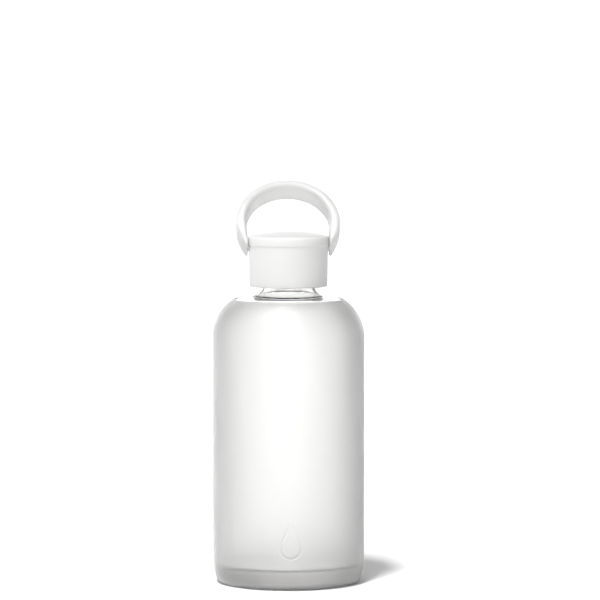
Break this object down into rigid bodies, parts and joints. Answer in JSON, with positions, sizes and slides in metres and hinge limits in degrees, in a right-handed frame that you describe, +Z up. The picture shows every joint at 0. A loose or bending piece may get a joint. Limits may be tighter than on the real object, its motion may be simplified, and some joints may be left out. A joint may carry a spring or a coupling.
{
  "type": "glass water bottle",
  "caption": "Glass water bottle in a frosted silicone sleeve, with a translucent screw cap and a round carry loop that swings over it.",
  "frame": {"origin": "centre of the base, on the surface the bottle stands on", "axes": "+Z up along the bottle's axis, -Y to the front, +X along the pivot of the carry loop"},
  "size_m": [0.078, 0.078, 0.2057],
  "materials": {
    "clear_glass": "clear polished glass",
    "frosted_silicone": "translucent frosted silicone rubber",
    "insert_plastic": "natural polypropylene, satin",
    "gasket_silicone": "soft matt silicone",
    "cap_plastic": "translucent white polypropylene, satin",
    "cover_plastic": "translucent white polypropylene, satin",
    "loop_plastic": "translucent white polypropylene, satin"
  },
  "bodies": {
    "bottle": {"glass_bottle": "clear_glass", "silicone_sleeve": "frosted_silicone"},
    "cap_lifter": {"sealing_gasket": "gasket_silicone"},
    "cap": {"cap_shell": "cap_plastic", "cap_top_cover": "cover_plastic", "threaded_insert": "insert_plastic"},
    "loop": {"carry_loop": "loop_plastic"}
  },
  "joints": [
    {"name": "cap_lift", "type": "slide", "parent": "bottle", "child": "cap_lifter", "axis": [0, 0, 1], "range_m": [0, 0.032]},
    {"name": "cap_turn", "type": "hinge", "parent": "cap_lifter", "child": "cap", "pos_m": [0, 0, 0.1715], "axis": [0, 0, 1], "range_deg": [0, 1440]},
    {"name": "loop_swing", "type": "hinge", "parent": "cap", "child": "loop", "pos_m": [0, 0, 0.1724], "axis": [1, 0, 0], "range_deg": [-82.5, 164.5]}
  ],
  "couplings": [
    {"joint": "cap_lift", "follows": "cap_turn", "m_per_rad": 0.0012732}
  ]
}
